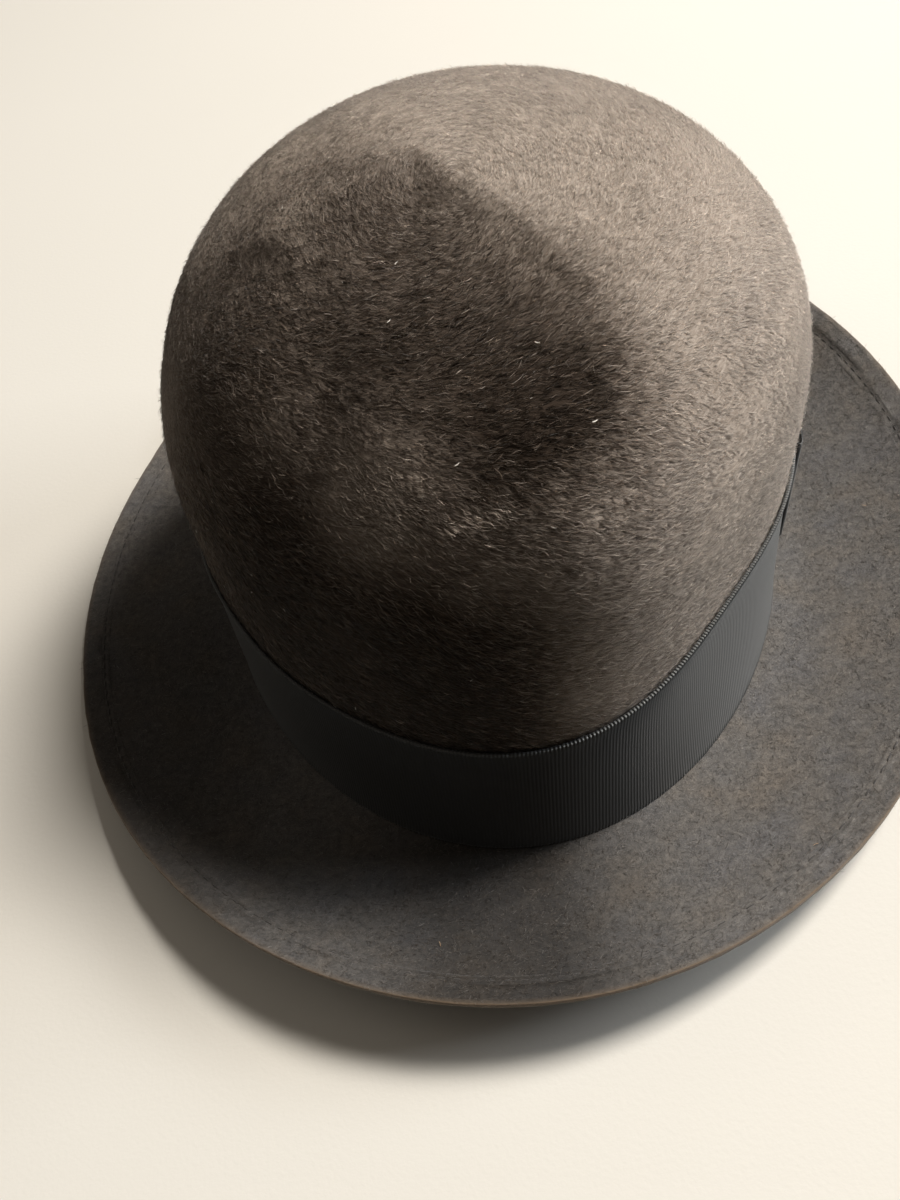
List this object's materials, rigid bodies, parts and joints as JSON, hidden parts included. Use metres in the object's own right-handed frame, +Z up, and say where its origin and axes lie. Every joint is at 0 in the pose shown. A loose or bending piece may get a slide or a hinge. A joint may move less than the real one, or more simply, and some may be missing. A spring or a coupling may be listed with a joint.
{
  "type": "round-crowned felt hat",
  "caption": "Soft felt hat with a tall round open crown, a wide grosgrain ribbon band with a flat side bow, and an upswept raw-edge brim.",
  "frame": {"origin": "centre of the head opening, on the plane the flat of the brim rests on", "axes": "+Z up through the crown, -Y to the front of the hat, +X to the wearer's left where the bow sits"},
  "size_m": [0.2748, 0.3112, 0.1343],
  "materials": {
    "crown_felt": "long brushed nap, taupe brown-grey",
    "brim_felt": "short smooth felt, mottled charcoal",
    "grosgrain": "fine vertical ribs, blue-black with a slate sheen",
    "dark_thread": "twisted sewing thread",
    "tan_thread": "twisted sewing thread",
    "sweatband_leather": "smooth vegetable-tanned leather with fine grain",
    "reed_plastic": "extruded cord",
    "tape_cloth": "plain woven tape",
    "narrow_ribbon": "narrow ribbed ribbon",
    "lining_satin": "satin with soft folds",
    "lining_cord": "satin-covered cord",
    "clear_sheet": "thin clear sheet",
    "label_paper": "blank uncoated paper"
  },
  "bodies": {
    "root": {"crown": "crown_felt", "brim": "brim_felt", "crown_brim_seam": "dark_thread", "hatband_ribbon": "grosgrain", "bow_tail": "grosgrain", "bow_loops": "grosgrain", "bow_knot": "grosgrain", "bow_tack_stitches": "dark_thread", "brim_edge_stitching": "dark_thread", "sweatband": "sweatband_leather", "sweatband_reed": "reed_plastic", "reed_tape": "tape_cloth", "sweatband_stitching": "tan_thread", "sweatband_back_patch": "sweatband_leather", "sweatband_bow": "narrow_ribbon", "lining_side": "lining_satin", "lining_tip": "lining_satin", "lining_welt_cord": "lining_cord", "lining_tacks": "dark_thread", "tip_shield": "clear_sheet", "size_label": "label_paper"}
  },
  "joints": []
}
